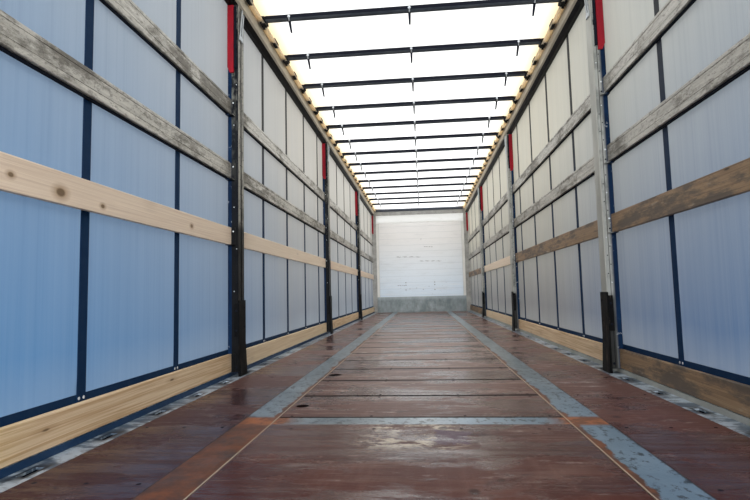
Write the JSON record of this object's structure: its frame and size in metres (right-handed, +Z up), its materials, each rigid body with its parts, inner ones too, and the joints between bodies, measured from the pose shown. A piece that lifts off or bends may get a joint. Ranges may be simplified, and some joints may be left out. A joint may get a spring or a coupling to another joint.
{
  "type": "curtain-side semi trailer",
  "caption": "Three-axle curtain-side semi trailer with a slatted load space, sliding roof and posts, and rear doors folded back; stands on its landing legs.",
  "frame": {"origin": "on the ground, under the middle of the whole trailer", "axes": "+Y to the front (kingpin end), +X to the right seen from behind, +Z up"},
  "size_m": [2.74, 13.765, 3.995],
  "materials": {
    "chassis_paint": "satin dark grey paint, road dirt",
    "bare_steel": "greased bare steel",
    "galvanised": "hot dip galvanised, stained with rust",
    "floor_ply": "dark red-brown coated plywood, scuffed and wet",
    "frame_grey": "grey paint",
    "white_panel": "white ribbed panel, scuffed",
    "clear_band": "translucent white sheet",
    "black_plastic": "black moulded plastic",
    "rubber": "black rubber",
    "lamp_red": "red and amber lamp lens",
    "post_steel": "galvanised inner face with dark blue sides",
    "black_steel": "black paint",
    "red_steel": "red paint",
    "timber": "planed pine, some boards aged brown",
    "aluminium": "weathered extruded aluminium",
    "runner_brass": "beige coated runner",
    "bow_steel": "dark blue-grey tube",
    "roof_fabric": "white translucent tarpaulin",
    "curtain_fabric": "blue-grey coated curtain",
    "strap_navy": "navy webbing",
    "tyre": "worn tread rubber",
    "rim": "silver painted steel wheel",
    "door_panel": "light grey door panel"
  },
  "bodies": {
    "chassis": {"air_bags": "rubber", "air_tanks": "chassis_paint", "aluminium_slats": "aluminium", "axles": "chassis_paint", "cantrails": "black_steel", "coil_well": "chassis_paint", "cross_members": "chassis_paint", "curtain_left": "curtain_fabric", "curtain_right": "curtain_fabric", "curtain_straps": "strap_navy", "floor_boards": "floor_ply", "floor_strips": "galvanised", "front_band": "clear_band", "front_frame": "frame_grey", "front_wall": "white_panel", "kick_plate": "galvanised", "kingpin_plate": "bare_steel", "lamp_board": "black_plastic", "landing_legs": "chassis_paint", "main_beams": "chassis_paint", "mudguards": "black_plastic", "post_feet": "black_steel", "post_levers": "red_steel", "rear_buffers": "rubber", "rear_lamps": "lamp_red", "rear_portal": "frame_grey", "roof_bows": "bow_steel", "roof_carriages": "black_plastic", "roof_runners": "runner_brass", "roof_tarpaulin": "roof_fabric", "service_sockets": "black_plastic", "side_guard_left": "aluminium", "side_guard_right": "aluminium", "side_posts_left": "post_steel", "side_posts_right": "post_steel", "side_rail_left": "galvanised", "side_rail_right": "galvanised", "suspension_arms": "chassis_paint", "timber_slats": "timber", "underrun_bar": "chassis_paint", "well_covers": "floor_ply"},
    "rear_left_wheel": {"tyre_rear_left": "tyre", "wheel_rear_left": "rim"},
    "rear_right_wheel": {"tyre_rear_right": "tyre", "wheel_rear_right": "rim"},
    "middle_left_wheel": {"tyre_middle_left": "tyre", "wheel_middle_left": "rim"},
    "middle_right_wheel": {"tyre_middle_right": "tyre", "wheel_middle_right": "rim"},
    "front_left_wheel": {"tyre_front_left": "tyre", "wheel_front_left": "rim"},
    "front_right_wheel": {"tyre_front_right": "tyre", "wheel_front_right": "rim"},
    "left_door": {"door_left": "door_panel", "door_gear_left": "galvanised"},
    "right_door": {"door_right": "door_panel", "door_gear_right": "galvanised"}
  },
  "joints": [
    {"name": "rear_left_wheel_spin", "type": "hinge", "parent": "chassis", "child": "rear_left_wheel", "pos_m": [-1.02, -3.7275, 0.535], "axis": [1, 0, 0], "continuous": true},
    {"name": "rear_right_wheel_spin", "type": "hinge", "parent": "chassis", "child": "rear_right_wheel", "pos_m": [1.02, -3.7275, 0.535], "axis": [1, 0, 0], "continuous": true},
    {"name": "middle_left_wheel_spin", "type": "hinge", "parent": "chassis", "child": "middle_left_wheel", "pos_m": [-1.02, -2.4175, 0.535], "axis": [1, 0, 0], "continuous": true},
    {"name": "middle_right_wheel_spin", "type": "hinge", "parent": "chassis", "child": "middle_right_wheel", "pos_m": [1.02, -2.4175, 0.535], "axis": [1, 0, 0], "continuous": true},
    {"name": "front_left_wheel_spin", "type": "hinge", "parent": "chassis", "child": "front_left_wheel", "pos_m": [-1.02, -1.1075, 0.535], "axis": [1, 0, 0], "continuous": true},
    {"name": "front_right_wheel_spin", "type": "hinge", "parent": "chassis", "child": "front_right_wheel", "pos_m": [1.02, -1.1075, 0.535], "axis": [1, 0, 0], "continuous": true},
    {"name": "left_door_hinge", "type": "hinge", "parent": "chassis", "child": "left_door", "pos_m": [-1.29, -6.8655, 2.5], "axis": [0, 0, 1], "range_deg": [0, 270]},
    {"name": "right_door_hinge", "type": "hinge", "parent": "chassis", "child": "right_door", "pos_m": [1.29, -6.8655, 2.5], "axis": [0, 0, 1], "range_deg": [-270, 0]}
  ]
}
